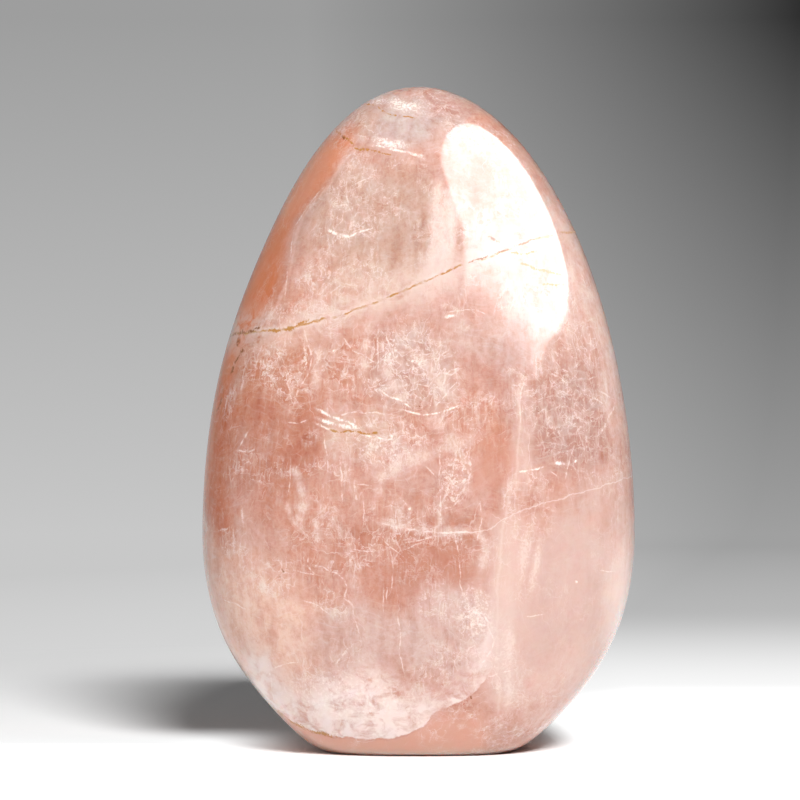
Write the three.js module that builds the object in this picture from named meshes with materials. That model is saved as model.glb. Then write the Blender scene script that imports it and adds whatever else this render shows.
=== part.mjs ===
// A hand-polished rose quartz freeform: one solid stone, egg-shaped and a little flattened
// from front to back, standing on a small flat foot. Millimetres, +Z up, the broad face
// towards -Y, the foot's middle at the origin.
import * as THREE from "three";
import { mergeVertices } from "three/addons/utils/BufferGeometryUtils.js";

// The egg: how far it reaches from the middle of its waist, its widest level.
const HALF_WIDTH = 49.1;
const HALF_DEPTH = 31.8;
const CROWN_REACH = 101.6;
const ROOT_REACH = 56.4;
const WAIST_HEIGHT = 49;

// How the egg swells: 2 is a true ellipse, more is squarer and less is more pointed.
const SECTION_POWER = 2.45;
const CROWN_POWER = 1.94;
const ROOT_POWER = 2;

// The broad flats that the polishing wheel left. A flat faces the given turn (0 is +X and
// 90 is +Y) and lift (90 is up), in degrees, and lies at its reach from the waist's middle.
const FLATS = [
  { turn: -97, lift: 12, reach: 35.3 }, // the broad upper front
  { turn: -150, lift: 24, reach: 55.9 }, // the left shoulder, whose edge shows on the front
  { turn: 148, lift: 16, reach: 50.9 }, // the left of the back
  { turn: 42, lift: 2, reach: 43.4 }, // the right of the back
  { turn: 96, lift: 4, reach: 31.7 }, // the back
  { turn: 182, lift: -42, reach: 52.3 }, // low on the left
  { turn: 2, lift: -44, reach: 52.6 }, // low on the right
];

// How crisply the flats run into the round, and the foot into the sides: higher is crisper.
const FLAT_CRISPNESS = 28;
const FOOT_CRISPNESS = 70;
// The foot is sawn off this far above the level where its rounded edge would die out.
const FOOT_SHAVE = 0.3;

// The skin's grid: steps round each quarter, and rows from the crown's cap down to the foot.
const STEPS_ACROSS = 18;
const ROWS_DOWN = 34;
const CAP_ANGLE = THREE.MathUtils.degToRad(36);
const SEARCH_STEPS = 40;

// The way that a flat faces, as a unit vector.
function facing({ turn, lift }) {
  const round = THREE.MathUtils.degToRad(turn);
  const up = THREE.MathUtils.degToRad(lift);
  return new THREE.Vector3(Math.cos(up) * Math.cos(round), Math.cos(up) * Math.sin(round), Math.sin(up));
}

const FLAT_NORMALS = FLATS.map(facing);

// Joins sizes as the longest of them, with the corners between them rounded.
function join(power, ...sizes) {
  return sizes.reduce((sum, size) => sum + size ** power, 0) ** (1 / power);
}

// How many times further out than the surface a point lies, seen from the waist's middle.
function excess(point) {
  const high = point.z > 0;
  const section = join(SECTION_POWER, Math.abs(point.x) / HALF_WIDTH, Math.abs(point.y) / HALF_DEPTH);
  const upright = Math.abs(point.z) / (high ? CROWN_REACH : ROOT_REACH);
  const egg = join(high ? CROWN_POWER : ROOT_POWER, section, upright);
  const flats = FLATS.map((flat, i) => Math.max(0, point.dot(FLAT_NORMALS[i]) / flat.reach));
  const body = join(FLAT_CRISPNESS, egg, ...flats);
  const foot = Math.max(0, -point.z) / (WAIST_HEIGHT + FOOT_SHAVE);
  return join(FOOT_CRISPNESS, body, foot);
}

// Where the foot's flat ends on the side that the turn gives, by halving.
function rimPoint(turn) {
  let inside = 0;
  let outside = 1;
  const along = (reach) => new THREE.Vector3(
    reach * HALF_WIDTH * Math.cos(turn),
    reach * HALF_DEPTH * Math.sin(turn),
    -WAIST_HEIGHT,
  );
  for (let step = 0; step < SEARCH_STEPS; step += 1) {
    const middle = (inside + outside) / 2;
    if (excess(along(middle)) < 1) inside = middle;
    else outside = middle;
  }
  return along(inside);
}

// The surface point that a turn and an angle down from the crown lead to.
function skinPoint(turn, angle) {
  const reach = Math.cos(angle) > 0 ? CROWN_REACH : ROOT_REACH;
  const point = new THREE.Vector3(
    HALF_WIDTH * Math.sin(angle) * Math.cos(turn),
    HALF_DEPTH * Math.sin(angle) * Math.sin(turn),
    reach * Math.cos(angle),
  );
  return point.divideScalar(excess(point));
}

function rimAngle(rim) {
  return Math.atan2(Math.hypot(rim.x / HALF_WIDTH, rim.y / HALF_DEPTH), rim.z / ROOT_REACH);
}

// Moves a place in a square, -1 to 1 each way, to its place in a disc of radius 1. The steps
// along the square's edge become equal turns, and the grid inside stays smooth.
function squareToDisc(x, y) {
  const right = (Math.PI / 4) * x;
  const back = (Math.PI / 4) * y;
  return {
    turn: Math.atan2(Math.sin(back) * Math.cos(right), Math.sin(right) * Math.cos(back)),
    ring: Math.SQRT2 * Math.hypot(Math.sin(right) * Math.cos(back), Math.sin(back) * Math.cos(right)),
  };
}

// A box whose top is drawn into the crown, whose sides are the skin and whose bottom is the
// foot, so the grid has no poles and one of its rows runs along the foot's rim.
function stoneGeometry() {
  const geometry = new THREE.BoxGeometry(2, 2, 2, STEPS_ACROSS, STEPS_ACROSS, ROWS_DOWN);
  const place = geometry.attributes.position;
  for (let i = 0; i < place.count; i += 1) {
    const x = place.getX(i);
    const y = place.getY(i);
    const z = place.getZ(i);
    const { turn, ring } = squareToDisc(x, y);
    const rim = rimPoint(turn);
    let point;
    if (z === -1) {
      point = new THREE.Vector3(rim.x * ring, rim.y * ring, rim.z);
    } else if (z === 1) {
      point = skinPoint(turn, ring * CAP_ANGLE);
    } else {
      point = skinPoint(turn, THREE.MathUtils.lerp(CAP_ANGLE, rimAngle(rim), (1 - z) / 2));
    }
    place.setXYZ(i, point.x, point.y, point.z + WAIST_HEIGHT);
  }
  geometry.deleteAttribute("normal");
  geometry.deleteAttribute("uv");
  const skin = mergeVertices(geometry, 0.001);
  skin.computeBoundingBox();
  const middle = skin.boundingBox.getCenter(new THREE.Vector3());
  skin.translate(-middle.x, -middle.y, 0);
  skin.computeVertexNormals();
  return skin;
}

const roseQuartz = new THREE.MeshStandardMaterial({ color: 0xe1a997, roughness: 0.1, metalness: 0 });

const stone = new THREE.Mesh(stoneGeometry(), roseQuartz);
stone.name = "stone";

const freeform = new THREE.Group();
freeform.add(stone);

export default freeform;
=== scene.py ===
"""A polished rose quartz freeform on a pale studio floor, laid out as an add-on."""

import math

import bpy
from bpy.props import FloatProperty, IntProperty, PointerProperty
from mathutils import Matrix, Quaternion, Vector


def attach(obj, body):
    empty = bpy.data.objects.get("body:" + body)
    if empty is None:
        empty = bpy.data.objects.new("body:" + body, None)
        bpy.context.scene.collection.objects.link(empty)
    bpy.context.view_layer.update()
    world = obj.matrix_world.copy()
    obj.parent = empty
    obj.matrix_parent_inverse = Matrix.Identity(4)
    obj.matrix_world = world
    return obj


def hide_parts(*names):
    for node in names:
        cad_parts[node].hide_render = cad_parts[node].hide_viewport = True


bl_info = {
    "name": "Rose quartz freeform",
    "version": (1, 0, 0),
    "blender": (4, 5, 0),
    "location": "3D View > Sidebar > Stone",
    "description": "Dresses the frame's stone as polished rose quartz and sets a studio round it",
    "category": "Mesh",
}

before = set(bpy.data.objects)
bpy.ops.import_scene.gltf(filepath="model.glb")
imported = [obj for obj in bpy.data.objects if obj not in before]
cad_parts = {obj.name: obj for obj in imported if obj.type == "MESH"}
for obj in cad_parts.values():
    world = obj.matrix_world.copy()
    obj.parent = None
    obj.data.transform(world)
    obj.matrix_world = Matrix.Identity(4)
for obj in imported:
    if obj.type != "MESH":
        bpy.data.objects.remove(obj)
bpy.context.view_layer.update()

STONE_NODE = "stone"
BODY = "root"
MM = 0.001
STONE_MIDDLE = (0, 0, 0.08)
QUARTZ_IOR = 1.544
SENSOR_WIDTH = 36

# The paper sweep: how far its wall stands off, how high it goes and how widely it bends up to it.
SWEEP_RADIUS = 1.8
SWEEP_HEIGHT = 1.4
SWEEP_BEND = 0.7
GAP_UNDER_FOOT = 0.0001

# Kinds of nodes, and the setting for a range that starts and ends gently.
MATH = "ShaderNodeMath"
VECTOR = "ShaderNodeVectorMath"
NOISE = "ShaderNodeTexNoise"
RANGE = "ShaderNodeMapRange"
MIX = "ShaderNodeMix"
SOFT = {"interpolation_type": "SMOOTHSTEP"}

# The stone's colours, from the clear salmon quartz to the white of open fractures.
DEEP_SALMON = 0xCF967F
SALMON = 0xDBA690
PALE_PINK = 0xE2BDB0
MAUVE_VEIL = 0xCFAAA0
DEEP_MAUVE = 0xC7A297
GREY_VEIL = 0xD6C9C4
COOL_PINK = 0xE3CAC1
FOOT_PINK = 0xD3A08D
# Painted light: the rims are made lighter, as if light shone through the stone's thin edges.
PAINTED_RIM_LIGHT = 0xF0D5CB
BRIGHT_PAINTED_RIM_LIGHT = 0xFFEBE2
PALE_VEIL = 0xFCEDE6
BODY_TINT = 0xE3D7D3
SHADE_TINT = 0xECEDEF
BEIGE_VEIL = 0xD5B8A8
# Partly painted light: the lower left's milky pink, made lighter for the floor's bounce.
MILK_AND_BOUNCE_PINK = 0xF8D9C8
DUSKY_SALMON = 0xD0906F
# Painted shade: the deep tones of the left shoulder's side, which is turned from the light. They stand for
# its shade and the warm light that passes through the stone there.
PAINTED_SHADE_ORANGE = 0xD07546
PAINTED_SHADE_BROWN = 0xD07E57
PAINTED_SHADE_PEACH = 0xD89272
CREAM = 0xE8D0BF
FEATHER_PINK = 0xDDC6BC
MILK = 0xEBDCD6
FRACTURE_WHITE = 0xFAF0E9
IRON_GOLD = 0xB07C38
IRON_BROWN = 0x8A5630

# The paper's greys: where it is lit and a little way off, where its painted falloff darkens it, and at the
# corners of the backdrop's painted shading.
PAPER_WHITE = 0xFFFFFF
PAPER_OFF_WHITE = 0xF4F4F4
LOW_LEFT = 0xC8C8C8
HIGH_LEFT = 0x9E9E9E
LOW_RIGHT = 0xA0A0A0
HIGH_RIGHT = 0x303030
ROOM_GREY = 0x9A9A9A

# How a layer goes over the ones below it, and the tints that darken or lift what is there.
OVER = "MIX"
DEEPEN = "MULTIPLY"
LIFT = "SCREEN"
CLEAR_TINT = 0xDDB8A8
HAZE_TINT = 0x5A6E6E

# The middle of the front skin, from front to back, and how deep its marks reach.
FRONT_SKIN = -24
MARK_DEPTH = 40
# How far a flake reaches from its middle, in parts of its stretch of the chain, so that flakes overlap.
FLAKE_REACH = 0.75

# Soft patches of colour: middle, half sizes, colour and strength. All lengths in the tables are millimetres.
PATCHES = [
    ((-8, -20, 119), (26, 30, 19), BEIGE_VEIL, 0.9),  # the hazy upper face
    ((-10, -25, 106), (18, 30, 9), CREAM, 0.7),  # the veil over the crack
    ((5.5, -28, 116), (5, 20, 22), PALE_VEIL, 0.85),
    ((-3, -16, 143), (18, 24, 10), GREY_VEIL, 0.85),  # the tip
    ((8, -10, 147), (12, 24, 6), MAUVE_VEIL, 0.8),
    ((-13, -14, 141), (5, 20, 4), BEIGE_VEIL, 0.8),
    ((26, -20, 112), (18, 30, 26), PALE_PINK, 0.8),  # the right of the upper face
    ((27, -8, 130), (8, 20, 14), GREY_VEIL, 0.3),
    # painted light on the right shoulder's rim
    ((37, -10, 104), (9, 30, 14), PAINTED_RIM_LIGHT, 0.8),
    ((7, -20, 133), (8, 24, 9), PALE_PINK, 0.8),
    ((26, -24, 92), (24, 30, 9), COOL_PINK, 0.7),
    ((-34, -16, 86), (20, 40, 27), DUSKY_SALMON, 0.9),  # the warm left side
    # painted shade: the left rim, deeper and browner where it is turned from the light
    ((-47, -4, 66), (13, 44, 36), PAINTED_SHADE_BROWN, 1),
    ((-31, -24, 69), (15, 30, 17), DEEP_SALMON, 0.9),
    ((-24, -26, 56), (12, 24, 10), SALMON, 0.5),
    ((-18, -28, 88), (11, 20, 12), SALMON, 0.7),
    ((-1, -30, 85), (14, 22, 13), FEATHER_PINK, 0.65),  # the feathered centre
    ((-13, -30, 72), (10, 20, 7), CREAM, 0.6),
    ((-14, -28, 56), (24, 24, 12), SALMON, 0.6),
    ((0, -30, 46), (24, 22, 11), DEEP_SALMON, 1),  # the clear window under the long seam
    ((-26, -28, 43), (14, 22, 8), SALMON, 0.9),
    ((-12, -28, 44), (9, 22, 7), SALMON, 0.6),
    ((21, -28, 84), (8, 22, 14), MAUVE_VEIL, 0.6),
    ((16, -28, 69), (6, 22, 14), SALMON, 0.75),  # clear stone left of the upright plane
    ((33, -20, 75), (14, 30, 18), DEEP_MAUVE, 0.9),
    ((49, -5, 58), (9, 36, 22), PALE_PINK, 1),  # the right rim, made lighter: painted light
    ((46, -10, 84), (10, 30, 20), PAINTED_RIM_LIGHT, 1),
    ((34, -22, 38), (18, 30, 32), COOL_PINK, 1),  # the even lower right
    # painted light along the lower right rim and the right edge
    ((37, -14, 12), (22, 32, 18), PAINTED_RIM_LIGHT, 1),
    ((48, -8, 32), (10, 34, 26), BRIGHT_PAINTED_RIM_LIGHT, 0.9),
    ((47, -6, 100), (9, 30, 16), BRIGHT_PAINTED_RIM_LIGHT, 0.8),
    ((-34, -18, 26), (20, 38, 24), MILK_AND_BOUNCE_PINK, 1),  # the cloudy lower left, made lighter with painted bounce light from the floor
    ((-48, -4, 40), (9, 34, 18), MILK_AND_BOUNCE_PINK, 0.6),
    ((-11, -30, 27), (18, 24, 11), COOL_PINK, 0.8),
    ((6, -28, 30), (16, 24, 12), COOL_PINK, 0.9),
    ((11, -28, 13), (10, 24, 10), SALMON, 0.8),
    ((0, -16, 0), (62, 60, 9), FOOT_PINK, 0.9),  # the foot
]

# Clumps of white specks: middle, half sizes and strength.
SPECKLED_PATCHES = [
    ((-6.4, -30, 90), (3, 20, 6), 1),
    ((-0.9, -30, 87), (3, 20, 3), 1),
    ((7.7, -30, 62), (4.5, 20, 7.5), 0.9),
    ((-13.5, -30, 117), (6, 20, 3), 0.7),
    ((12, -30, 33), (5, 20, 8), 0.8),
    ((-8, -30, 68), (6, 20, 5), 0.6),
    ((-18, -26, 14), (22, 20, 8), 0.6),
    ((-28, -24, 98), (12, 20, 4), 0.6),
    ((-31, -24, 87), (10, 20, 9), 0.25),
]

# Where the skin cuts crowded fine fractures, a lace of pale lines: middle, half sizes and strength.
LACE_PATCHES = [
    ((-2, -30, 86), (17, 20, 14), 1),
    ((8, -30, 62), (5, 20, 10), 1),
    ((12, -30, 30), (5, 20, 12), 1),
    ((-8, -30, 70), (13, 20, 8), 0.8),
    ((-29, -24, 87), (12, 30, 11), 1),
    ((33, -24, 76), (13, 20, 16), 0.7),
    ((-22, -26, 52), (9, 20, 10), 0.6),
    ((-16, -26, 106), (16, 20, 8), 0.6),
    ((-8, -28, 12), (26, 24, 9), 0.5),
]

# Clear, even stone with little in it.
CALM_PATCHES = [
    ((35, -20, 36), (24, 40, 34), 1),
    ((4, -28, 43), (17, 20, 8), 0.7),
    ((16, -28, 66), (6, 20, 14), 0.7),
    ((-36, -16, 120), (14, 30, 24), 0.6),
    ((0, -16, 0), (60, 60, 6), 0.8),
]

# Lines on the front, as (x, z) points from left to right, in millimetres.
MAIN_CRACK = [(-41.5, 94), (-33, 94.4), (-27, 95.3), (-19.5, 97.3), (-13, 99.4), (-7, 101.8), (1.5, 105.4),
              (6, 107.5), (11.5, 109.4), (20, 112.7), (25.5, 114.6), (45, 119)]
LONG_SEAM = [(-12, 53.5), (-8, 52.5), (-2, 51.1), (4, 50.4), (10, 50.6), (14, 50.8), (18.5, 53.5),
             (24.5, 55.8), (35, 58.8), (47.5, 62)]
MILK_SHORE = [(-36, 12.5), (-32, 9.1), (-27, 6.8), (-21.5, 4.8), (-13, 3.9), (-4.5, 4.7), (0, 6.5), (4, 10.6),
              (9, 12.9), (14, 17), (17, 26)]
MILK_TOP = [(-42, 26), (-36, 24), (-31, 20), (-22, 17), (-16, 19), (-8, 21), (0, 17), (8, 21), (16, 34)]

# Edges that run upwards, as (z, x) points from the foot up: the upright plane inside the stone, and the
# crease on the left shoulder, past which its side is painted with shade.
UPRIGHT_PLANE = [(10, 17.7), (25, 17), (34, 17.1), (47, 17.8), (59, 19.8), (66, 21.4), (84, 22)]
SHOULDER_EDGE = [(50, -46.5), (62, -45), (78, -42.5), (88, -39), (94, -35.5), (101, -31), (106, -29),
                 (112, -28), (118, -26.5), (123, -23.5), (127, -20), (131, -17.6), (135, -14.6), (140, -12)]

# Bright white flakes near the skin, as a half width and then (x, z) points along each.
WHITE_FLAKES = [
    (2.6, (-11.5, 147.4), (-7, 146.6), (-3, 145.4)),
    (2.0, (-6.5, 145.6), (1, 144.4)),
    (0.52, (-22.5, 76.9), (-19, 75.6), (-16, 74.8), (-13.5, 73.6)),
    (0.68, (-22.5, 75.1), (-18, 74.1), (-13.5, 73)),
    (0.45, (-22.5, 74), (-18, 72.6)),
    (0.83, (-15, 73.9), (-13, 73)),
    (0.38, (-12.5, 72), (-10, 71.2), (-6.5, 70.3)),
    (0.35, (-7, 70.3), (-5.7, 71), (-6.2, 72)),
    (0.38, (-8.8, 81.6), (-6.5, 80.2), (-3.5, 78.6), (-2, 77.5)),
    (0.35, (-4, 76.9), (1, 76), (5, 76.8), (8.8, 78)),
    (0.6, (-20.4, 117), (-17.8, 115.5), (-15, 115)),
    (0.38, (-15.5, 115.1), (-13.5, 116), (-10.3, 117.4)),
    (0.55, (-11, 136.2), (-7, 135.4), (-3, 134.3), (1, 133.2)),
    (1.6, (-10.5, 137.4), (-3, 135.6)),
    (0.68, (-2.3, 55.9), (-1.4, 55.1)),
    (0.38, (21.3, 63.6), (24, 64.1), (27, 64.6)),
    (0.68, (28.8, 65.3), (31.9, 65.1)),
    (0.52, (34.1, 66), (34.8, 66)),
    (0.45, (34.1, 39), (34.7, 39)),
    (0.45, (-19, 90), (-18.2, 90.2)),
    (0.6, (5.5, 97.2), (8, 97.4)),
]

# Fine pale lines, the edges of fractures that reach the skin.
FINE_LINES = [
    (0.3, (-14.3, 34.2), (-14.3, 31.6), (-13, 28.5)),
    (0.3, (-4.7, 33), (-4.2, 29), (-4.5, 24.6), (-3.4, 19.6)),
    (0.3, (15, 29), (16.2, 26.6), (15.6, 24)),
    (0.3, (9.5, 58.3), (7.6, 56), (5, 55.6)),
    (0.3, (-7, 93), (-6.4, 90.5), (-5, 88)),
    (0.3, (22.8, 83), (22, 78.5), (22, 74)),
    (0.3, (1.4, 64.8), (4, 62.4)),
    (0.32, (-23.5, 43.2), (-21, 43), (-19.4, 41.7), (-17.6, 41), (-16.2, 40), (-15.6, 38.5)),
    (0.32, (-15.7, 39), (-16.2, 36), (-14.2, 34)),
    (0.38, (-25, 95), (-24.3, 91.5), (-23.6, 88.5), (-24.2, 85), (-26, 82), (-27, 79.5)),
    (0.3, (-17, 93), (-14.8, 90.5), (-12, 88.8), (-9.7, 87.2)),
    (0.3, (-9, 95.5), (-9, 84.5)),
    (0.26, (-0.5, 82.5), (3, 81.5), (3, 80.5), (2, 77.5)),
    (0.26, (6.5, 90), (4.5, 89), (3.5, 87.5)),
    (0.3, (9, 86.2), (7, 85.7), (5.8, 84.5), (5.4, 82)),
    (0.3, (8.5, 83.2), (6.5, 81), (5, 79.5), (3.5, 78)),
    (0.3, (-17, 75.7), (-15, 76.5), (-13, 76.7), (-6, 76)),
    (0.26, (-14, 76.2), (-14, 74)),
    (0.26, (-4.2, 58), (-2, 55.6)),
    (0.26, (-5, 56), (-5, 49)),
    (0.26, (4.6, 69), (4.4, 60.4), (4.6, 51.7)),
    (0.45, (10.6, 66.3), (11, 63.8), (10.4, 61), (9, 58.5)),
    (0.26, (8, 49.8), (8.4, 45.3), (8.8, 40.3), (9.3, 36.6)),
    (0.26, (13, 57.8), (13.5, 54.4), (12.6, 50.7), (12.3, 48.5)),
    (0.3, (-24.4, 45), (-24.7, 43.4), (-23.8, 42), (-22.4, 40.8)),
    (0.26, (-27.2, 41.8), (-21, 40.7)),
    (0.26, (-7.8, 39.2), (-7.8, 33)),
    (0.26, (-7.1, 38.6), (-7.1, 35.2)),
    (0.26, (-25.4, 35.6), (-22.7, 34.4), (-19, 32.4)),
    (0.3, (34, 69), (33, 66.4), (32.2, 63.8), (32.2, 61.5)),
    (0.26, (28.7, 63.5), (30, 62.3)),
    (0.26, (6, 98.2), (9, 98.8), (12.2, 99), (14.4, 98.2)),
    (0.26, (-15.2, 126.6), (-10.2, 128.6)),
    (0.38, (11, 32.8), (14, 32.4), (15.2, 30.8)),
    (0.3, (12, 30.6), (15, 30), (15.3, 27.5)),
    (0.3, (15.7, 24.6), (14.6, 22.3), (13, 21)),
    (0.3, (-28, 65), (-28.2, 61.6), (-28.8, 58.5)),
    (0.3, (-21.2, 72), (-20, 66.6), (-19.8, 63)),
    (0.3, (-17.2, 66.4), (-16.8, 60), (-16.8, 56.7)),
    (0.45, (-14, 61.3), (-14, 59), (-13.5, 57.5)),
    (0.26, (-13.4, 60.5), (-10.4, 60.5)),
    (0.26, (-12.3, 58.4), (-12.2, 51.7)),
    (0.26, (-14.4, 46.5), (-10, 46.5)),
    (0.26, (-6.5, 50.5), (-6.4, 46.7), (-5.8, 42), (-6.2, 37.5)),
    (0.52, (-39, 55.6), (-38.6, 52.4)),
    (0.38, (-44.5, 50), (-41.8, 51.2)),
    (0.3, (-39.5, 69), (-38.8, 70.8), (-37.2, 72.7)),
    (0.3, (-40.2, 68), (-37.6, 67.7), (-35.6, 68.5)),
    (0.38, (-15, 25.2), (-17, 23), (-18.6, 20.8)),
    (0.3, (-33, 20.3), (-32.5, 13.5)),
    (0.26, (-32.4, 19.7), (-29, 21.2), (-26.3, 21.5)),
    (0.3, (-44.2, 35), (-41.5, 34.5), (-38.4, 33)),
    (0.26, (29.3, 88), (31, 86.2), (33.2, 85.6)),
    (0.3, (28, 85), (30.6, 84.3), (33, 82.8)),
    (0.3, (37.6, 94.8), (38, 89.6), (37.5, 86)),
    (0.26, (37.2, 83.7), (39.4, 84.3)),
    (0.3, (39.8, 81.2), (43.4, 79.4)),
    (0.3, (38.2, 80), (41.4, 78)),
    (0.38, (43.8, 79), (41.8, 75), (40.6, 72)),
    (0.26, (39.6, 41.5), (44, 41)),
    (0.26, (23, 32), (27.5, 32.2)),
    (0.26, (-16, 127), (-15.7, 121.8)),
    (0.26, (-18.4, 122.3), (-15.8, 122.4)),
    (0.26, (-3.7, 48.2), (4.4, 49.7)),
    (0.26, (-3, 46.9), (1.2, 48.7)),
    (0.26, (-8, 49), (-3, 44.5)),
    (0.26, (-24.5, 75), (-26.5, 74.2), (-29, 74.3)),
    (0.3, (-29.6, 101.5), (-29, 109.5), (-27.6, 117.5), (-24.8, 122.6), (-20.8, 127)),
    (0.26, (14.8, 18.6), (18.2, 19.5), (20.6, 19.9)),
]

# Broad soft veils.
SOFT_VEILS = [
    (1.4, (-22, 91), (-22.3, 86.7), (-22.8, 81.5)),
    (1.6, (-11, 96.5), (-11.2, 93), (-12, 89.3), (-12.5, 85)),
    (2.2, (-8, 86.5), (-6, 83.7), (-4.6, 81), (-4, 78.5)),
    (2.4, (12, 71), (3, 67.8), (-3.3, 65.2), (-7.5, 63)),
    (1.8, (-6.8, 64), (-8.8, 61), (-9, 58)),
    (1.5, (-27.6, 64.5), (-26, 61.5), (-24.8, 57.5), (-25.6, 54.5), (-26.8, 52.5)),
    (1.1, (-28.7, 57.2), (-28, 54), (-25.6, 50.6)),
    (1.0, (-20.3, 56), (-21.5, 54.6), (-21.5, 53)),
    (1.1, (-22.6, 53.2), (-22.4, 50.5), (-22, 47.6)),
    (2.0, (23.8, 51), (22, 40)),
    (1.2, (26.2, 48), (24.5, 37)),
    (1.5, (4.3, 128), (3.4, 118), (3.1, 108.5)),
    (1.6, (7.2, 125), (6.8, 111)),
    (2.0, (33, 110.5), (34.6, 103.6), (41.5, 101.8)),
    (1.6, (-8.5, 53), (-2, 51.2), (4, 50.5), (12, 51)),
    (1.6, (11.5, 52), (15, 47), (13, 42)),
    (1.6, (19.8, 30), (19.6, 21), (19.4, 11.5)),
    (3.4, (2, 76.5), (6, 72.5), (8, 68)),
    (1.6, (0, 90), (3, 84), (7.5, 79.5)),
]

# Iron stain in the open ends of cracks.
GOLD_STAINS = [
    (0.4, (-20, 73.2), (-17.5, 72.4), (-15.5, 72.7), (-13.5, 72.3), (-11, 72), (-8.5, 72)),
    (0.4, (19.4, 112), (23, 111.6), (26, 111.8)),
    (0.5, (22.1, 109.3), (24, 109), (26, 107.9), (31.4, 107)),
    (0.35, (27.2, 104.6), (31.2, 104.5)),
    (0.4, (-18.8, 140.3), (-17.2, 138.7), (-15.5, 137.1), (-14.5, 136)),
    (0.5, (-14.5, 136), (-13.4, 134.9), (-12, 135.2), (-10.7, 134.8)),
    (0.3, (-10.7, 134.8), (-8.4, 134.2), (-6, 133.7)),
    (0.4, (-12, 145.9), (-10.6, 145.4), (-9.3, 145.2), (-8.3, 144.4)),
    (0.32, (-8.3, 144.4), (-7.2, 143.6), (-6, 143), (-4.3, 142.8), (-0.8, 142.1)),
    (0.75, (-33.2, 94.4), (-30, 94.7), (-27, 95.3)),
    (0.5, (-27, 95.4), (-24.4, 96.6)),
    (0.4, (-7.1, 101.8), (-4.5, 102.9)),
    (0.4, (4, 106.6), (8, 108.2)),
    (0.7, (-33.5, 11), (-29.6, 8.1), (-24.4, 5.8), (-18.5, 4.4)),
]
BROWN_MARKS = [
    (0.5, (-40.1, 93.7), (-40.6, 90.8)),
    (0.45, (-38.9, 90.7), (-40, 89), (-41.2, 87), (-41.9, 84.6)),
    (0.4, (-44, 79.8), (-45.3, 76)),
    (0.8, (-42.6, 93.9), (-40.5, 94.1), (-38.8, 94.4)),
    (0.5, (-38.8, 94.4), (-36.2, 94.3)),
    (0.3, (11.4, 109.4), (15.2, 111.3)),
    (0.35, (16.5, 111.7), (19.8, 112.7)),
    (0.3, (21, 113.2), (25.6, 114.6)),
    (0.35, (-36.7, 94.7), (-34.8, 95.2)),
    (0.4, (-17.3, 138.8), (-16.5, 137.4)),
    (0.4, (-30, 42.2), (-29.7, 41.4)),
    (0.3, (-30.4, 40.7), (-30.3, 40.3)),
    (0.35, (0, 78.1), (0, 77.5)),
    (0.6, (11, 14.1), (11.6, 14)),
    (0.4, (15.5, 115), (17.5, 114.2)),
]

# The placed marks, with how strongly each kind glows into the stone round it and how strong it is itself.
MARKS = ((SOFT_VEILS, 0.3, 0.2), (FINE_LINES, 0.12, 0.4), (WHITE_FLAKES, 0.35, 0.85))
STAINS = ((GOLD_STAINS, IRON_GOLD), (BROWN_MARKS, IRON_BROWN))

# Random curved sheets of bubbles: the size of their bends, and in parts of the noise how far they fade
# away to one side and how wide the line is where the skin cuts them.
SHEETS = (((6, 6, 13), 0.09, 0.008), ((10, 7, 4), 0.08, 0.007), ((3.2, 3.2, 4.5), 0.1, 0.012))

# Random flat fractures, at three sizes: strength, the cell that each lies in, its reach, the width of its
# line, how it leans, and the share of the cells that have one.
FRACTURES = (
    (0.45, 8, 6, 0.12, (1, 0.6, 0.35), 0.6),
    (0.35, 4.5, 3.5, 0.11, (0.4, 0.6, 1), 0.6),
    (0.3, 2.4, 1.8, 0.1, (1, 1, 0.6), 0.9),
)


def linear(code):
    """The linear colour, with an alpha of 1, of an sRGB hex value such as 0xE1A997."""
    parts = [(code >> shift & 0xFF) / 255 for shift in (16, 8, 0)]
    return [p / 12.92 if p <= 0.04045 else ((p + 0.055) / 1.055) ** 2.4 for p in parts] + [1.0]


def add(tree, kind, inputs=None, **settings):
    """Adds a node with its settings. An input is a value, or a node or socket to link it to."""
    node = tree.nodes.new(kind)
    for name, value in settings.items():
        setattr(node, name, value)
    for name, value in (inputs or {}).items():
        socket = node.inputs[name]
        if not isinstance(name, int):
            socket = next(s for s in node.inputs if s.enabled and s.name == name)
        if isinstance(value, bpy.types.Node):
            value = next(s for s in value.outputs if s.enabled)
        if isinstance(value, bpy.types.NodeSocket):
            tree.links.new(value, socket)
        else:
            socket.default_value = value
    return node


def new_material(name):
    """A material with an empty node tree and its output."""
    material = bpy.data.materials.new(name)
    material.use_nodes = True
    material.node_tree.nodes.clear()
    return material, material.node_tree, add(material.node_tree, "ShaderNodeOutputMaterial")


def wander(tree, place, size, reach):
    """The place, drawn aside by up to about that reach by swirls of that size, in millimetres."""
    swirl = add(tree, NOISE, {"Vector": place, "Scale": 1 / size, "Detail": 2})
    aside = add(tree, VECTOR, {0: swirl.outputs["Color"], 1: (0.5, 0.5, 0.5)}, operation="SUBTRACT")
    return add(tree, VECTOR, {0: aside, 1: (4 * reach,) * 3, 2: place}, operation="MULTIPLY_ADD")


def mottle(tree, place, size, detail=4, roughness=0.6, swirl=0):
    """Cloudy noise, 0.5 on the average, whose lumps have that size along x, y and z, in millimetres."""
    scaled = add(tree, VECTOR, {0: place, 1: tuple(1 / part for part in size)}, operation="MULTIPLY")
    return add(tree, NOISE, {"Vector": scaled, "Scale": 1, "Detail": detail, "Roughness": roughness,
                             "Distortion": swirl})


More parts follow.
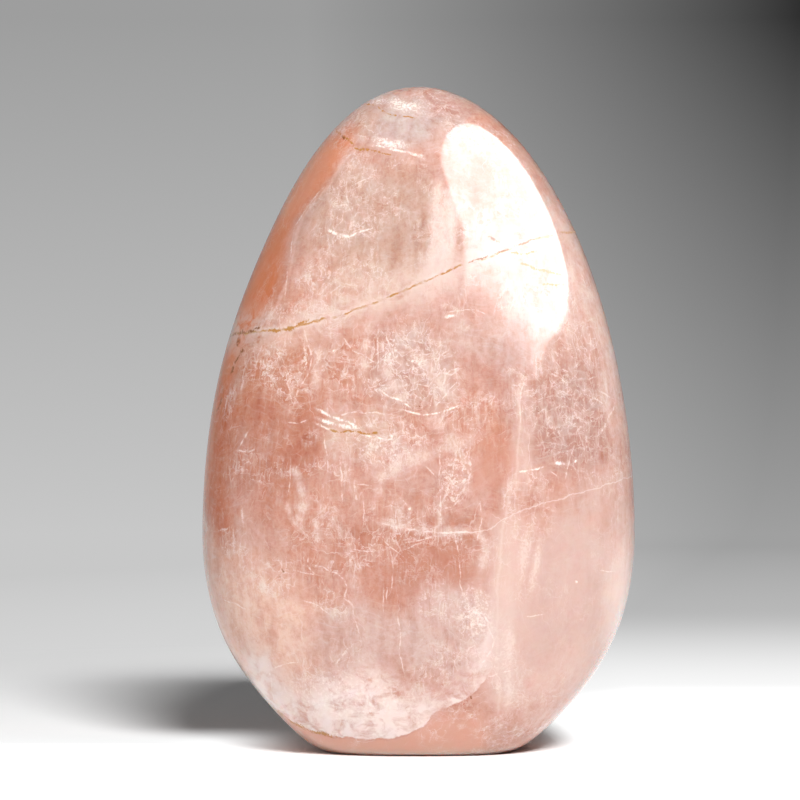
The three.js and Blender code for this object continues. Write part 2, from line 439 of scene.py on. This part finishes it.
def line_height(tree, along, points):
    """How high a drawn line runs at that place along it."""
    starts, heights = zip(*points)
    low, high = min(heights), max(heights)
    curve = add(tree, "ShaderNodeFloatCurve", {
        "Value": add(tree, RANGE, {"Value": along, "From Min": starts[0], "From Max": starts[-1]})})
    knots = curve.mapping.curves[0].points
    while len(knots) < len(points):
        knots.new(0.5, 0.5)
    for knot, (start, height) in zip(knots, points):
        knot.location = (start - starts[0]) / (starts[-1] - starts[0]), (height - low) / (high - low)
    curve.mapping.update()
    return add(tree, RANGE, {"Value": curve, "To Min": low, "To Max": high})


def near_zero(tree, distance, width):
    """1 on the line where the distance is 0, falling to 0 at that width from it."""
    away = add(tree, MATH, {0: distance}, operation="ABSOLUTE")
    return add(tree, RANGE, {"Value": away, "From Min": 0, "From Max": width, "To Min": 1, "To Max": 0},
               **SOFT)


def between(tree, value, low, high, fade):
    """1 between low and high, with a fade past each of them."""
    rise = add(tree, RANGE, {"Value": value, "From Min": low - fade, "From Max": low}, **SOFT)
    fall = add(tree, RANGE, {"Value": value, "From Min": high, "From Max": high + fade, "To Min": 1,
                             "To Max": 0}, **SOFT)
    return add(tree, MATH, {0: rise, 1: fall}, operation="MULTIPLY")


def stronger(tree, mask, other):
    """The stronger of two masks at each place. The first may be None, for no mask yet.

    Masks that are to be joined are joined as each is made. Where too many of them wait, the material is too
    large for Cycles and the stone renders black.
    """
    return other if mask is None else add(tree, MATH, {0: mask, 1: other}, operation="MAXIMUM")


def ball(tree, place, middle, turn, reach):
    """1 in the middle of an ellipsoid with those half sizes, turned about Y, and 0 on its surface."""
    gradient = add(tree, "ShaderNodeTexGradient", {"Vector": place}, gradient_type="SPHERICAL")
    gradient.texture_mapping.vector_type = "TEXTURE"
    gradient.texture_mapping.translation = middle
    gradient.texture_mapping.rotation = (0, turn, 0)
    gradient.texture_mapping.scale = reach
    return gradient.outputs["Fac"]


def soft_patch(tree, place, middle, reach, strength=1):
    """An ellipsoid of that strength, which fades out towards its half sizes."""
    patch = ball(tree, place, middle, 0, reach)
    return add(tree, RANGE, {"Value": patch, "From Max": 0.6, "To Max": strength}, **SOFT)


def patchwork(tree, place, patches):
    """The strongest of the soft patches there, each given as its middle, half sizes and strength."""
    strongest = None
    for patch in patches:
        mask = soft_patch(tree, place, *patch)
        strongest = stronger(tree, strongest, mask)
    return strongest


def one_sided(tree, value, reach):
    """A crisp edge where the value rises through 0, and a fade over that reach above it."""
    rise = add(tree, RANGE, {"Value": value, "From Min": -0.08 * reach, "From Max": 0})
    fall = add(tree, RANGE, {"Value": value, "From Min": 0, "From Max": reach, "To Min": 1, "To Max": 0},
               **SOFT)
    return add(tree, MATH, {0: rise, 1: fall}, operation="MULTIPLY")


def flakes(tree, place, chains):
    """Narrow lens-shaped flakes, laid end to end along chains of (x, z) points of one width."""
    mask = None
    for width, *points in chains:
        for (x1, z1), (x2, z2) in zip(points, points[1:]):
            turn = -math.atan2(z2 - z1, x2 - x1)
            reach = math.hypot(x2 - x1, z2 - z1) * FLAKE_REACH
            middle = ((x1 + x2) / 2, FRONT_SKIN, (z1 + z2) / 2)
            lens = ball(tree, place, middle, turn, (reach, MARK_DEPTH, width))
            mask = stronger(tree, mask, lens)
    return mask


def hairlines(tree, place, cell, reach, width, lean, share):
    """Small flat fractures of random lean, one in some of the cells, which the skin cuts to fine lines."""
    cells = add(tree, "ShaderNodeTexVoronoi", {"Vector": place, "Scale": 1 / cell})
    middle = cells.outputs["Position"]
    aside = add(tree, VECTOR, {0: place, 1: middle}, operation="SUBTRACT")
    facing = add(tree, VECTOR, {0: cells.outputs["Color"], 1: (0.5, 0.5, 0.5)}, operation="SUBTRACT")
    facing = add(tree, VECTOR, {0: facing, 1: lean}, operation="MULTIPLY")
    facing = add(tree, VECTOR, {0: facing}, operation="NORMALIZE")
    offset = add(tree, VECTOR, {0: aside, 1: facing}, operation="DOT_PRODUCT").outputs["Value"]
    span = add(tree, VECTOR, {0: aside}, operation="LENGTH").outputs["Value"]
    disc = add(tree, RANGE, {"Value": span, "From Min": reach * 0.2, "From Max": reach, "To Min": 1,
                             "To Max": 0}, **SOFT)
    chance = add(tree, "ShaderNodeTexWhiteNoise", {"Vector": middle}, noise_dimensions="3D").outputs["Value"]
    chosen = add(tree, RANGE, {"Value": chance, "From Min": 0, "From Max": share, "To Min": 1, "To Max": 0})
    mask = add(tree, MATH, {0: near_zero(tree, offset, width), 1: disc}, operation="MULTIPLY")
    return add(tree, MATH, {0: mask, 1: chosen}, operation="MULTIPLY")


def hazy_and_clear(tree, noise, low, high, haze, clear, *masks):
    """Layers that lift the stone with haze where the noise is high, and deepen it where it is low."""
    lifted = add(tree, RANGE, {"Value": noise, "From Min": 0.5, "From Max": high})
    deepened = add(tree, RANGE, {"Value": noise, "From Min": 0.5, "From Max": low})
    return [(LIFT, HAZE_TINT, haze, *masks, lifted), (DEEPEN, CLEAR_TINT, clear, *masks, deepened)]


def painted_shoulder_shade(tree, across, depth, height):
    """Where the left shoulder's side lies past its crease, and its layers of painted shade: a deep tone for
    the shade and the warm light through the stone there, peach towards the top, and a pale line along the
    crease.
    """
    inside = add(tree, MATH, {0: line_height(tree, height, SHOULDER_EDGE), 1: across}, operation="SUBTRACT")
    left = add(tree, RANGE, {"Value": depth, "From Min": 14, "From Max": 0}, **SOFT)
    mask = add(tree, RANGE, {"Value": inside, "From Min": -0.6, "From Max": 4}, **SOFT)
    mask = add(tree, MATH, {0: mask, 1: left}, operation="MULTIPLY")
    mask = add(tree, MATH, {0: mask, 1: between(tree, height, 60, 134, 10)}, operation="MULTIPLY")
    return mask, [
        (OVER, PAINTED_SHADE_ORANGE, 0.97, mask),
        (OVER, PAINTED_SHADE_PEACH, 0.8, mask, between(tree, height, 126, 140, 12)),
        (OVER, PALE_PINK, 0.35, near_zero(tree, inside, 0.7), left, between(tree, height, 96, 134, 3)),
    ]


def milky_cloud(tree, across, height, drifting, front, curd):
    """The layers of the milky cloud above the foot, which ends sharply along a crystal's old outer face."""
    shore = add(tree, MATH, {0: height, 1: line_height(tree, across, MILK_SHORE)}, operation="SUBTRACT")
    inland = add(tree, RANGE, {"Value": shore, "From Min": 0, "From Max": 0.5}, **SOFT)
    below = add(tree, RANGE, {"Value": shore, "From Min": 0.4, "From Max": -0.4})
    x_loose, _, z_loose = add(tree, "ShaderNodeSeparateXYZ", {0: drifting}).outputs
    top = add(tree, MATH, {0: z_loose, 1: line_height(tree, x_loose, MILK_TOP)}, operation="SUBTRACT")
    top = add(tree, RANGE, {"Value": top, "From Min": -7, "From Max": 3, "To Min": 1, "To Max": 0}, **SOFT)
    ends = between(tree, across, -37, 13, 4)
    low = add(tree, RANGE, {"Value": height, "From Min": 12, "From Max": 8})
    return [
        (OVER, MAUVE_VEIL, 0.5, inland, top, ends, front),
        (OVER, MILK, 0.95, inland, top, ends, front, curd),
        (OVER, FOOT_PINK, 0.85, below, ends, front, low),
    ]


def upright_plane(tree, across, height, front):
    """The layers of the upright plane inside the stone, which is paler and more even to its right."""
    plane = add(tree, MATH, {0: across, 1: line_height(tree, height, UPRIGHT_PLANE)}, operation="SUBTRACT")
    standing = between(tree, height, 12, 80, 3)
    return [
        (OVER, FEATHER_PINK, 0.45, between(tree, plane, 0, 2, 8), between(tree, height, 14, 52, 4), front),
        (OVER, FEATHER_PINK, 0.3, between(tree, plane, 0, 2, 3), standing, front),
        (OVER, FEATHER_PINK, 0.4, near_zero(tree, plane, 0.5), standing, front),
    ]


def veils(tree, wavy, lacy, lively, fibres):
    """The layers of curved sheets of bubbles, crisp where the skin cuts them, and fading away to one side."""
    layers = []
    for size, reach, width in SHEETS:
        sheet = add(tree, MATH, {0: mottle(tree, wavy, size, 4, 0.5, 0.8), 1: 0.5}, operation="SUBTRACT")
        layers.append((OVER, FEATHER_PINK, 0.5, lively, fibres, one_sided(tree, sheet, reach), lacy))
        layers.append((OVER, MILK, 0.6, lacy, lively, near_zero(tree, sheet, width)))
    return layers


def placed_marks(tree, bent, bite):
    """The layers of the placed veils, lines and flakes. Each glows a little into the stone round it."""
    layers = []
    for chains, glow, strength in MARKS:
        mask = flakes(tree, bent, chains)
        glowing = add(tree, RANGE, {"Value": mask, "From Min": 0, "From Max": 0.6})
        mask = add(tree, MATH, {0: mask, 1: bite}, operation="SUBTRACT")
        bitten = add(tree, RANGE, {"Value": mask, "From Min": 0.1, "From Max": 0.6})
        layers += [(OVER, FEATHER_PINK, glow, glowing), (OVER, FRACTURE_WHITE, strength, bitten)]
    return layers


def stains(tree, bent, bite):
    """The layers of the placed iron stains."""
    layers = []
    for chains, tint in STAINS:
        mask = add(tree, MATH, {0: flakes(tree, bent, chains), 1: bite}, operation="SUBTRACT")
        layers.append((OVER, tint, 0.9, add(tree, RANGE, {"Value": mask, "From Min": 0, "From Max": 0.4})))
    return layers


def laid_on(tree, colour, layers):
    """The colour with the layers over it, each as strong as its strength times its masks."""
    for manner, tint, strength, *masks in layers:
        for mask in masks:
            strength = add(tree, MATH, {0: mask, 1: strength}, operation="MULTIPLY")
        colour = add(tree, MIX, {"Factor": strength, "A": colour, "B": linear(tint)}, data_type="RGBA",
                     blend_type=manner)
    return colour


def rose_quartz():
    """Rose quartz, lapped and polished: milky pink and clear salmon under a glassy skin."""
    material, tree, output = new_material("rose_quartz_polished")
    coordinates = add(tree, "ShaderNodeTexCoord")
    place = add(tree, "ShaderNodeMapping", {"Vector": coordinates.outputs["Object"], "Scale": (1 / MM,) * 3})
    drifting = wander(tree, place, 14, 3)
    bent = wander(tree, place, 5, 0.4)
    swaying = wander(tree, place, 3, 0.6)
    wavy = wander(tree, bent, 0.8, 0.16)
    across, depth, height = add(tree, "ShaderNodeSeparateXYZ", {0: wavy}).outputs
    front = add(tree, RANGE, {"Value": depth, "From Min": 5, "From Max": -5}, **SOFT)

    # A layer is how it goes on, its tint and strength, and then the masks that bound it.
    layers = [(OVER, tint, strength, soft_patch(tree, drifting, middle, reach))
              for middle, reach, tint, strength in PATCHES]
    layers.append((DEEPEN, BODY_TINT, 1))
    # The left shoulder's side, past its crease, is painted with shade.
    orange, orange_layers = painted_shoulder_shade(tree, across, depth, height)
    layers += orange_layers

    # Upright growth bands, 3 mm across, and finer fibres both ways.
    calm = patchwork(tree, drifting, CALM_PATCHES)
    calm = add(tree, MATH, {0: calm, 1: orange}, operation="MAXIMUM")
    lively = add(tree, RANGE, {"Value": calm, "To Min": 1, "To Max": 0.25})
    bands = mottle(tree, wander(tree, place, 12, 1.2), (2.6, 2.6, 45), 5, 0.65)
    layers += hazy_and_clear(tree, bands, 0.3, 0.7, 0.4, 0.4, lively)
    patchy = mottle(tree, place, (12, 12, 12), 2)
    here = add(tree, RANGE, {"Value": patchy, "From Min": 0.42, "From Max": 0.55}, **SOFT)
    elsewhere = add(tree, RANGE, {"Value": patchy, "From Min": 0.55, "From Max": 0.4}, **SOFT)
    upright = mottle(tree, bent, (0.55, 0.55, 12), 3)
    level = mottle(tree, drifting, (8, 4, 0.6), 3)
    layers.append((LIFT, HAZE_TINT, 0.7, here, lively,
                   add(tree, RANGE, {"Value": upright, "From Min": 0.5, "From Max": 0.7})))
    layers.append((LIFT, HAZE_TINT, 0.55, elsewhere, lively,
                   add(tree, RANGE, {"Value": level, "From Min": 0.52, "From Max": 0.7})))

    # Clouds of tiny bubbles, in lumps of 8 mm down to a grain of about 1 mm.
    cloud = mottle(tree, wavy, (7, 7, 8), 9, 0.7, 0.3)
    layers += hazy_and_clear(tree, cloud, 0.32, 0.7, 0.65, 0.45, lively)
    grain = mottle(tree, place, (1.2, 1.2, 1.4), 4, 0.75)
    layers += hazy_and_clear(tree, grain, 0.3, 0.7, 0.4, 0.4, lively)

    curd = mottle(tree, wavy, (4.5, 4.5, 3.5), 8, 0.66, 0.6)
    curd = add(tree, RANGE, {"Value": curd, "From Min": 0.34, "From Max": 0.54})
    layers += milky_cloud(tree, across, height, drifting, front, curd)
    layers += upright_plane(tree, across, height, front)

    # A lace of fibrous veils, where it is placed and in some patches of the rest.
    random_lace = add(tree, RANGE, {"Value": patchy, "From Min": 0.46, "From Max": 0.6, "To Max": 0.7},
                      **SOFT)
    lacy = patchwork(tree, drifting, LACE_PATCHES)
    lacy = add(tree, MATH, {0: lacy, 1: random_lace}, operation="MAXIMUM")
    fibres = add(tree, RANGE, {"Value": upright, "From Min": 0.4, "From Max": 0.62, "To Min": 0.35,
                               "To Max": 1})
    layers += veils(tree, wavy, lacy, lively, fibres)

    # Clumps of white specks.
    specks = mottle(tree, bent, (0.7, 0.7, 0.9), 4, 0.7)
    layers.append((OVER, FRACTURE_WHITE, 0.65, patchwork(tree, bent, SPECKLED_PATCHES),
                   add(tree, RANGE, {"Value": specks, "From Min": 0.5, "From Max": 0.64})))

    for strength, *fracture in FRACTURES:
        layers.append((OVER, MILK, strength, lively, hairlines(tree, swaying, *fracture)))

    # The placed marks, which the grain eats into.
    bite = mottle(tree, place, (0.5, 0.5, 0.7), 3, 0.6)
    bite = add(tree, RANGE, {"Value": bite, "From Min": 0.4, "From Max": 0.62, "To Min": 0, "To Max": 0.55})
    layers += placed_marks(tree, bent, bite)

    # The long white seam.
    broken = mottle(tree, place, (2.2, 2.2, 2.2), 3)
    broken = add(tree, RANGE, {"Value": broken, "From Min": 0.36, "From Max": 0.6})
    seam = add(tree, MATH, {0: height, 1: line_height(tree, across, LONG_SEAM)}, operation="SUBTRACT")
    layers.append((OVER, FRACTURE_WHITE, 0.6, near_zero(tree, seam, 0.35), between(tree, across, -5, 8, 6),
                   front, broken))
    layers.append((OVER, MILK, 0.45, near_zero(tree, seam, 0.25), between(tree, across, 8, 46, 6), front))

    # The crack that crosses the whole stone: a pale veil over it, then the line, broken and stained.
    crack = add(tree, MATH, {0: height, 1: line_height(tree, across, MAIN_CRACK)}, operation="SUBTRACT")
    layers.append((OVER, FEATHER_PINK, 0.6, between(tree, crack, 0, 0.5, 8), curd))
    layers.append((OVER, MILK, 0.4, between(tree, crack, 0, 0.2, 1.2), broken,
                   between(tree, across, -36, 24, 4)))
    layers.append((OVER, IRON_GOLD, 0.95, near_zero(tree, crack, 0.42), broken))
    layers += stains(tree, bent, bite)
    layers.append((DEEPEN, SHADE_TINT, 1))

    # The polish rolls by a few hundredths of a millimetre, dips at the open crack, and is duller there.
    dips = add(tree, MATH, {0: near_zero(tree, crack, 0.6), 1: broken}, operation="MULTIPLY")
    polish = add(tree, MATH, {0: mottle(tree, place, (9, 9, 11), 1), 1: 0.35, 2: 1}, operation="MULTIPLY_ADD")
    polish = add(tree, MATH, {0: polish, 1: dips}, operation="SUBTRACT")
    relief = add(tree, "ShaderNodeBump", {"Height": polish, "Strength": 0.6, "Distance": 0.2 * MM})
    roughness = add(tree, RANGE, {"Value": cloud, "From Min": 0.35, "From Max": 0.65, "To Min": 0.16,
                                  "To Max": 0.26})
    duller = add(tree, MATH, {0: dips, 1: 0.5}, operation="MULTIPLY")
    roughness = add(tree, MATH, {0: roughness, 1: duller}, operation="MAXIMUM")

    body = mottle(tree, place, (24, 24, 30), 3)
    body = add(tree, RANGE, {"Value": body, "From Min": 0.4, "From Max": 0.6}, **SOFT)
    body = add(tree, MIX, {"Factor": body, "A": linear(SALMON), "B": linear(PALE_PINK)}, data_type="RGBA")
    shader = add(tree, "ShaderNodeBsdfPrincipled", {
        "Base Color": laid_on(tree, body, layers),
        "Roughness": roughness,
        "IOR": QUARTZ_IOR,
        "Specular IOR Level": 0.1,
        "Subsurface Weight": 0.9,
        "Subsurface Radius": (1.0, 0.4, 0.25),
        "Subsurface Scale": 0.02,
        "Coat Weight": 0.5,
        "Coat Roughness": 0.03,
        "Coat IOR": QUARTZ_IOR,
        "Coat Normal": relief,
    }, subsurface_method="RANDOM_WALK")
    tree.links.new(shader.outputs[0], output.inputs["Surface"])
    return material


def studio_paper():
    """Matt white paper: truly lit where the stone stands; farther off, painted light and shade that glow,
    shaded off up the sweep behind it.
    """
    material, tree, output = new_material("paper_matt_white")
    place = add(tree, "ShaderNodeTexCoord").outputs["Object"]
    across, back, _ = add(tree, "ShaderNodeSeparateXYZ", {0: place}).outputs
    reach = add(tree, VECTOR, {0: place}, operation="LENGTH").outputs["Value"]
    # Near the stone the paper is truly lit by the lamps; farther off its white is painted more grey, a
    # painted falloff of the light.
    painted_falloff = add(tree, RANGE, {"Value": reach, "From Min": 0.12, "From Max": 0.42}, **SOFT)
    tint = add(tree, MIX, {"Factor": painted_falloff, "A": linear(PAPER_WHITE), "B": linear(PAPER_OFF_WHITE)},
               data_type="RGBA")
    near = add(tree, "ShaderNodeBsdfDiffuse", {"Color": tint})

    # The far paper glows with painted shading, by the way in which it lies from the stone's middle.
    way = add(tree, VECTOR, {0: place, 1: STONE_MIDDLE}, operation="SUBTRACT")
    way = add(tree, VECTOR, {0: way}, operation="NORMALIZE")
    rightward, _, upward = add(tree, "ShaderNodeSeparateXYZ", {0: way}).outputs
    floorward = add(tree, RANGE, {"Value": upward, "From Min": -0.05, "From Max": -0.09})
    upward = add(tree, RANGE, {"Value": upward, "From Min": -0.07, "From Max": 0.17})
    rightward = add(tree, RANGE, {"Value": rightward, "From Min": -0.045, "From Max": 0.175})
    left = add(tree, MIX, {"Factor": upward, "A": linear(LOW_LEFT), "B": linear(HIGH_LEFT)}, data_type="RGBA")
    right = add(tree, MIX, {"Factor": upward, "A": linear(LOW_RIGHT), "B": linear(HIGH_RIGHT)},
                data_type="RGBA")
    shade = add(tree, MIX, {"Factor": rightward, "A": left, "B": right}, data_type="RGBA")

    # A painted pool of light: the floor grows white towards the front right, slowly and then fast, and glows
    # past white at its brightest.
    sideways = add(tree, MATH, {0: across, 1: 0.06}, operation="MINIMUM")
    behind = add(tree, MATH, {0: sideways, 1: -1.2, 2: back}, operation="MULTIPLY_ADD")
    dim = add(tree, RANGE, {"Value": behind, "From Min": 0.9, "From Max": 0.25, "To Max": 0.25})
    lit = add(tree, RANGE, {"Value": behind, "From Min": 0.4, "From Max": 0, "To Min": dim}, **SOFT)
    nearer = add(tree, RANGE, {"Value": back, "From Min": 0.16, "From Max": -0.02}, **SOFT)
    lit = add(tree, MATH, {0: lit, 1: nearer}, operation="MAXIMUM")
    lit = add(tree, MATH, {0: lit, 1: floorward}, operation="MULTIPLY")
    shade = add(tree, MIX, {"Factor": lit, "A": shade, "B": linear(PAPER_WHITE)}, data_type="RGBA")
    glow = add(tree, RANGE, {"Value": lit, "From Min": 0.9, "From Max": 1, "To Min": 1, "To Max": 1.3},
               **SOFT)
    far = add(tree, "ShaderNodeEmission", {"Color": shade, "Strength": glow})

    # The truly lit paper, with the stone's real shadow, reaches less far on the right and in front, where no
    # shadow falls; there the painted light of the far paper takes over.
    aside = add(tree, RANGE, {"Value": across, "From Min": 0.012, "From Max": 0.05, "To Max": 0.3})
    reach = add(tree, MATH, {0: reach, 1: aside}, operation="ADD")
    blend = add(tree, RANGE, {"Value": reach, "From Min": 0.16, "From Max": 0.3}, **SOFT)
    ahead = add(tree, RANGE, {"Value": back, "From Min": 0.05, "From Max": 0.012}, **SOFT)
    apart = add(tree, MATH, {0: across}, operation="ABSOLUTE")
    apart = add(tree, RANGE, {"Value": apart, "From Min": 0.026, "From Max": 0.052}, **SOFT)
    ahead = add(tree, MATH, {0: ahead, 1: apart}, operation="MULTIPLY")
    blend = add(tree, MATH, {0: blend, 1: ahead}, operation="MAXIMUM")
    paper = add(tree, "ShaderNodeMixShader", {0: blend, 1: near, 2: far})
    tree.links.new(paper.outputs[0], output.inputs["Surface"])
    return material


class StoneSettings(bpy.types.PropertyGroup):
    """How finely the stone's skin is made."""

    smoothing: IntProperty(
        name="Smoothing", description="Subdivision levels of the skin", default=2, min=1, max=3)


class StudioSettings(bpy.types.PropertyGroup):
    """Where the camera and lights stand."""

    camera_distance: FloatProperty(
        name="Camera distance", description="From the lens to the stone's middle",
        default=0.7, subtype="DISTANCE", unit="LENGTH")
    camera_height: FloatProperty(
        name="Camera height", description="Of the lens above the floor",
        default=0.0792, subtype="DISTANCE", unit="LENGTH")
    camera_shift: FloatProperty(
        name="Camera sideways", description="Of the lens, to the right of the stone's middle",
        default=-0.0042, subtype="DISTANCE", unit="LENGTH")
    lens: FloatProperty(
        name="Lens", description="Focal length on a 36 mm wide sensor", default=138.6, unit="CAMERA")


def shown_in_collection(obj):
    """Puts the object in the scene, and gives it back."""
    bpy.context.scene.collection.objects.link(obj)
    return obj


class RoseQuartzStone(bpy.types.Operator):
    """Makes the polished stone from the frame's solid."""

    bl_idname = "mesh.rose_quartz_stone"
    bl_label = "Rose quartz stone"

    def execute(self, context):
        settings = context.scene.stone_settings
        bpy.ops.object.select_all(action="DESELECT")
        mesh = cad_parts[STONE_NODE].data.copy()
        mesh.name = "rose_quartz_freeform"
        mesh.materials.clear()
        stone = shown_in_collection(bpy.data.objects.new("rose_quartz_freeform", mesh))
        stone.select_set(True)
        context.view_layer.objects.active = stone
        bpy.ops.object.mode_set(mode="EDIT")
        bpy.ops.mesh.select_all(action="SELECT")
        bpy.ops.mesh.remove_doubles(threshold=0.01 * MM)
        bpy.ops.mesh.tris_convert_to_quads(face_threshold=math.radians(40), shape_threshold=math.radians(60))
        bpy.ops.object.mode_set(mode="OBJECT")
        skin = stone.modifiers.new("Skin", "SUBSURF")
        skin.levels = skin.render_levels = settings.smoothing
        bpy.ops.object.modifier_apply(modifier=skin.name)
        bpy.ops.object.shade_smooth()
        stone.data.materials.append(rose_quartz())
        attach(stone, BODY)
        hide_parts(STONE_NODE)
        return {"FINISHED"}


def softbox(name, turn, lift, distance, size, power, roll=0, mirrored=True, spread=True):
    """An oval light at that turn and lift round the stone's middle, in degrees, facing it."""
    data = bpy.data.lights.new(name, "AREA")
    data.shape = "ELLIPSE"
    data.size, data.size_y = size
    data.energy = power
    light = shown_in_collection(bpy.data.objects.new(name, data))
    light.visible_camera = False
    light.visible_glossy = mirrored
    light.visible_diffuse = spread
    turn, lift = math.radians(turn), math.radians(lift)
    way = Vector((math.cos(lift) * math.cos(turn), math.cos(lift) * math.sin(turn), math.sin(lift)))
    light.location = Vector(STONE_MIDDLE) + way * distance
    look = (-way).to_track_quat("-Z", "Y")
    light.rotation_euler = (look @ Quaternion((0, 0, 1), math.radians(roll))).to_euler()
    return light


def shape_card(card):
    """Lets the card shine evenly, with crisp edges, and die away softly towards its lower left."""
    card.data.use_nodes = True
    tree = card.data.node_tree
    place = add(tree, "ShaderNodeTexCoord").outputs["Object"]
    low = add(tree, VECTOR, {0: place, 1: (-1, -1.2, 0)}, operation="DOT_PRODUCT").outputs["Value"]
    half_width, half_height = 0.53, 0.29
    oval = add(tree, VECTOR, {0: place, 1: (1 / half_width, 1 / half_height, 0)}, operation="MULTIPLY")
    oval = add(tree, VECTOR, {0: oval}, operation="LENGTH").outputs["Value"]
    wider = add(tree, RANGE, {"Value": low, "From Min": 0.4, "From Max": 0.7, "To Max": 0.3})
    oval = add(tree, MATH, {0: oval, 1: wider}, operation="SUBTRACT")
    edge = add(tree, RANGE, {"Value": oval, "From Min": 1, "From Max": 0.95})
    fade = add(tree, RANGE, {"Value": low, "From Min": 0.7, "From Max": 0.34}, **SOFT)
    strength = add(tree, MATH, {0: edge, 1: fade}, operation="MULTIPLY")
    tree.links.new(strength.outputs[0], tree.nodes["Emission"].inputs["Strength"])


def sweep():
    """A round paper sweep: a floor that curves up into a wall on all sides, open at the top."""
    bpy.ops.object.select_all(action="DESELECT")
    bpy.ops.mesh.primitive_cylinder_add(
        vertices=96, radius=SWEEP_RADIUS, depth=SWEEP_HEIGHT, end_fill_type="NGON",
        location=(0, 0, SWEEP_HEIGHT / 2 - GAP_UNDER_FOOT))
    paper = bpy.context.object
    paper.name = "paper_sweep"

    # The top comes off, and the floor's edge is bent up into the wall.
    bpy.ops.object.mode_set(mode="EDIT")
    bpy.ops.mesh.select_all(action="DESELECT")
    bpy.ops.object.mode_set(mode="OBJECT")
    for face in paper.data.polygons:
        face.select = face.normal.z > 0.5
    bpy.ops.object.mode_set(mode="EDIT")
    bpy.ops.mesh.select_mode(type="FACE")
    bpy.ops.mesh.delete(type="FACE")
    bpy.ops.object.mode_set(mode="OBJECT")
    for face in paper.data.polygons:
        face.select = face.normal.z < -0.5
    bpy.ops.object.mode_set(mode="EDIT")
    bpy.ops.mesh.bevel(offset=SWEEP_BEND, segments=12, affect="EDGES")
    bpy.ops.mesh.select_all(action="SELECT")
    bpy.ops.mesh.flip_normals()
    bpy.ops.object.mode_set(mode="OBJECT")
    bpy.ops.object.transform_apply(location=True, rotation=False, scale=False)
    bpy.ops.object.shade_smooth()
    return paper


class Studio(bpy.types.Operator):
    """Sets the camera, the lights, the floor and the backdrop."""

    bl_idname = "mesh.rose_quartz_studio"
    bl_label = "Studio"

    def execute(self, context):
        settings = context.scene.studio_settings
        lens = bpy.data.cameras.new("camera")
        lens.lens = settings.lens
        lens.sensor_width = SENSOR_WIDTH
        camera = shown_in_collection(bpy.data.objects.new("camera", lens))
        camera.location = (settings.camera_shift, -settings.camera_distance, settings.camera_height)
        camera.rotation_euler = (math.radians(90), 0, 0)
        context.scene.camera = camera

        paper = sweep()
        paper.data.materials.append(studio_paper())

        # The key light isn't mirrored in the polish. The card is, and lights nothing else.
        softbox("key", turn=-74, lift=37, distance=1.2, size=(0.45, 0.3), power=21.5, mirrored=False)
        card = softbox("card", turn=-37, lift=45, distance=0.6, size=(1.4, 0.8), power=45, roll=7,
                       spread=False)
        shape_card(card)
        world = bpy.data.worlds.new("studio")
        context.scene.world = world
        world.use_nodes = True
        background = world.node_tree.nodes["Background"]
        background.inputs["Color"].default_value = linear(ROOM_GREY)
        background.inputs["Strength"].default_value = 0.26
        context.scene.view_settings.view_transform = "Standard"
        return {"FINISHED"}


class StonePanel(bpy.types.Panel):
    """The buttons that make the stone and its studio."""

    bl_idname = "VIEW3D_PT_rose_quartz"
    bl_label = "Rose quartz freeform"
    bl_space_type = "VIEW_3D"
    bl_region_type = "UI"
    bl_category = "Stone"

    def draw(self, context):
        for operator in (RoseQuartzStone, Studio):
            self.layout.operator(operator.bl_idname)


CLASSES = (StoneSettings, StudioSettings, RoseQuartzStone, Studio, StonePanel)


def register():
    for cls in CLASSES:
        bpy.utils.register_class(cls)
    bpy.types.Scene.stone_settings = PointerProperty(type=StoneSettings)
    bpy.types.Scene.studio_settings = PointerProperty(type=StudioSettings)


def unregister():
    del bpy.types.Scene.studio_settings
    del bpy.types.Scene.stone_settings
    for cls in reversed(CLASSES):
        bpy.utils.unregister_class(cls)


def main():
    register()
    bpy.ops.mesh.rose_quartz_studio()
    bpy.ops.mesh.rose_quartz_stone()


if __name__ == "__main__":
    main()
